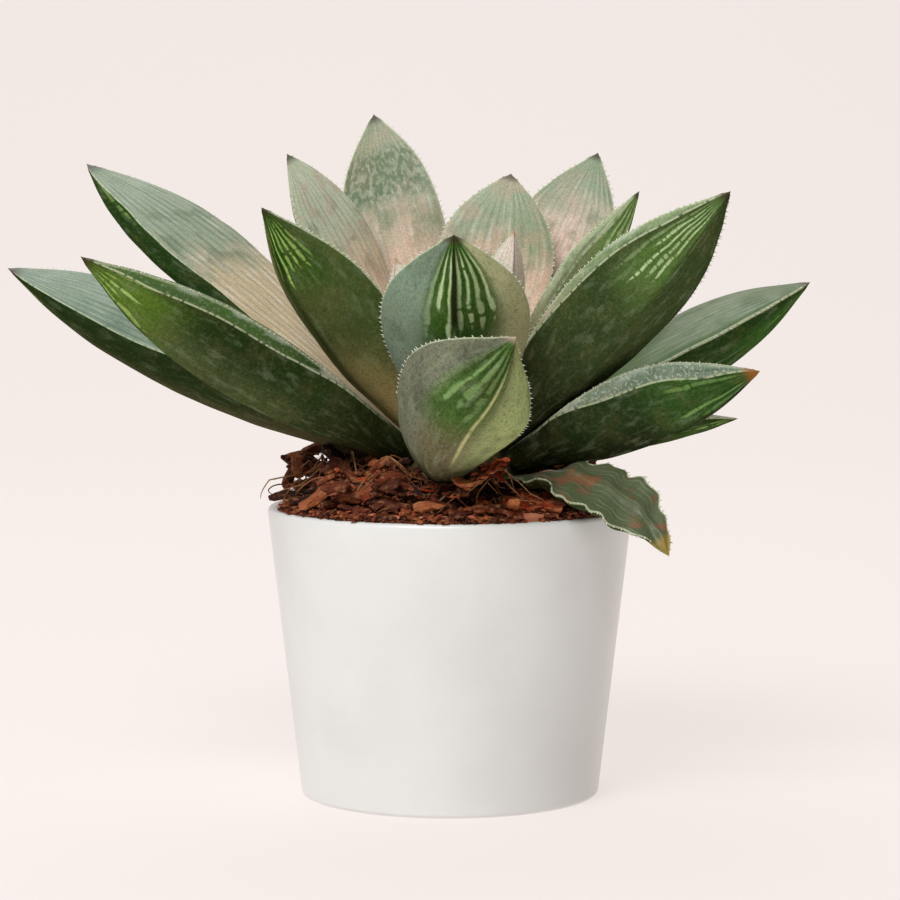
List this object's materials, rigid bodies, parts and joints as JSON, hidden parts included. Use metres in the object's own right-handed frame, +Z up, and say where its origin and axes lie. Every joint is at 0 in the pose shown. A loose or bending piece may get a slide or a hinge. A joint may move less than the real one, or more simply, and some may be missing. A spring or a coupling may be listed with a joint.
{
  "type": "potted haworthia",
  "caption": "Rosette of thick keeled succulent leaves on a short stem, in soil and husk mulch, in a clay pot inside a plain white tapered pot.",
  "frame": {"origin": "centre of the white pot's flat base, on the surface that it stands on", "axes": "+Z up, along the pot's axis; +X to the right and -Y towards the viewer of the front"},
  "size_m": [0.1347, 0.1075, 0.1143],
  "materials": {
    "white_pot": "smooth satin white, faintly glazed",
    "terracotta": "unglazed fired clay, matte and fine-grained",
    "soil": "dark crumbly potting soil",
    "husk": "red-brown coconut husk chips and coir fibres, dry",
    "stem": "pale waxy crown tissue",
    "leaf": "waxy green skin with pale window streaks and fine pale teeth on the margins",
    "leaf_pale": "waxy grey-green upper face with fine lengthwise lines and pale toothed margins",
    "leaf_heart": "young cream and green leaf skin",
    "leaf_old": "limp old leaf, grey-green above, brown towards its tip"
  },
  "bodies": {
    "root": {"white_pot": "white_pot", "inner_pot": "terracotta", "soil": "soil", "mulch": "husk", "stem": "stem", "leaf_low_1": "leaf", "leaf_low_2": "leaf", "leaf_low_3": "leaf", "leaf_low_4": "leaf", "leaf_low_5": "leaf", "leaf_low_6": "leaf", "leaf_mid_1": "leaf", "leaf_mid_2": "leaf", "leaf_mid_3": "leaf", "leaf_mid_4": "leaf", "leaf_top_1": "leaf_pale", "leaf_top_2": "leaf_pale", "leaf_top_3": "leaf_pale", "leaf_top_4": "leaf_pale", "leaf_top_5": "leaf", "leaf_back_1": "leaf", "leaf_back_2": "leaf", "leaf_back_3": "leaf", "leaf_back_4": "leaf", "leaf_back_5": "leaf", "leaf_back_6": "leaf", "leaf_heart_1": "leaf_heart", "leaf_heart_2": "leaf_heart", "leaf_heart_3": "leaf_heart", "leaf_heart_4": "leaf_heart", "leaf_old": "leaf_old"}
  },
  "joints": []
}
